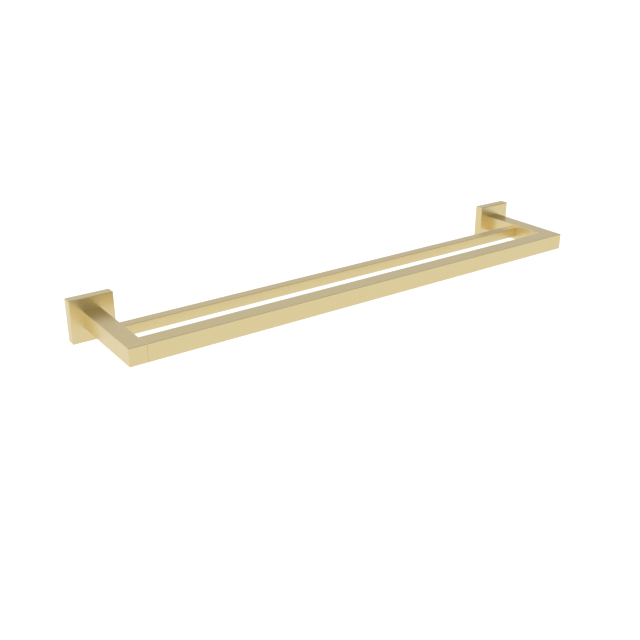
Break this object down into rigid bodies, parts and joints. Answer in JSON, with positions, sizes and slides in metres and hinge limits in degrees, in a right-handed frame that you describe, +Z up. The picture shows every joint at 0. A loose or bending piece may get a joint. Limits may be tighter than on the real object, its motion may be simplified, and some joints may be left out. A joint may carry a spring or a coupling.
{
  "type": "double towel rail",
  "caption": "Wall-mounted double towel rail of square section: a front bar between two arms on square wall plates, with a thinner bar behind it.",
  "frame": {"origin": "on the wall plane, midway between the two wall plates, at the height of the arm axes", "axes": "+X along the bars to the right as seen from the room, +Y into the wall, +Z up"},
  "size_m": [0.65, 0.124, 0.05],
  "materials": {
    "brushed_gold": "fine satin brushing along each bar and arm, light gold",
    "fixing_steel": "plain machined steel"
  },
  "bodies": {
    "root": {"front_bar": "brushed_gold", "rear_bar": "brushed_gold", "left_arm": "brushed_gold", "right_arm": "brushed_gold", "left_wall_plate": "brushed_gold", "right_wall_plate": "brushed_gold", "left_wall_bracket": "fixing_steel", "right_wall_bracket": "fixing_steel", "left_arm_screw": "fixing_steel", "right_arm_screw": "fixing_steel", "left_arm_dowel": "fixing_steel", "right_arm_dowel": "fixing_steel", "left_plate_screw": "fixing_steel", "right_plate_screw": "fixing_steel", "left_front_plug": "fixing_steel", "right_front_plug": "fixing_steel", "left_front_plug_screw": "fixing_steel", "right_front_plug_screw": "fixing_steel", "left_front_grub_screw": "fixing_steel", "right_front_grub_screw": "fixing_steel", "left_rear_plug": "fixing_steel", "right_rear_plug": "fixing_steel", "left_rear_plug_screw": "fixing_steel", "right_rear_plug_screw": "fixing_steel", "left_rear_grub_screw": "fixing_steel", "right_rear_grub_screw": "fixing_steel"}
  },
  "joints": []
}
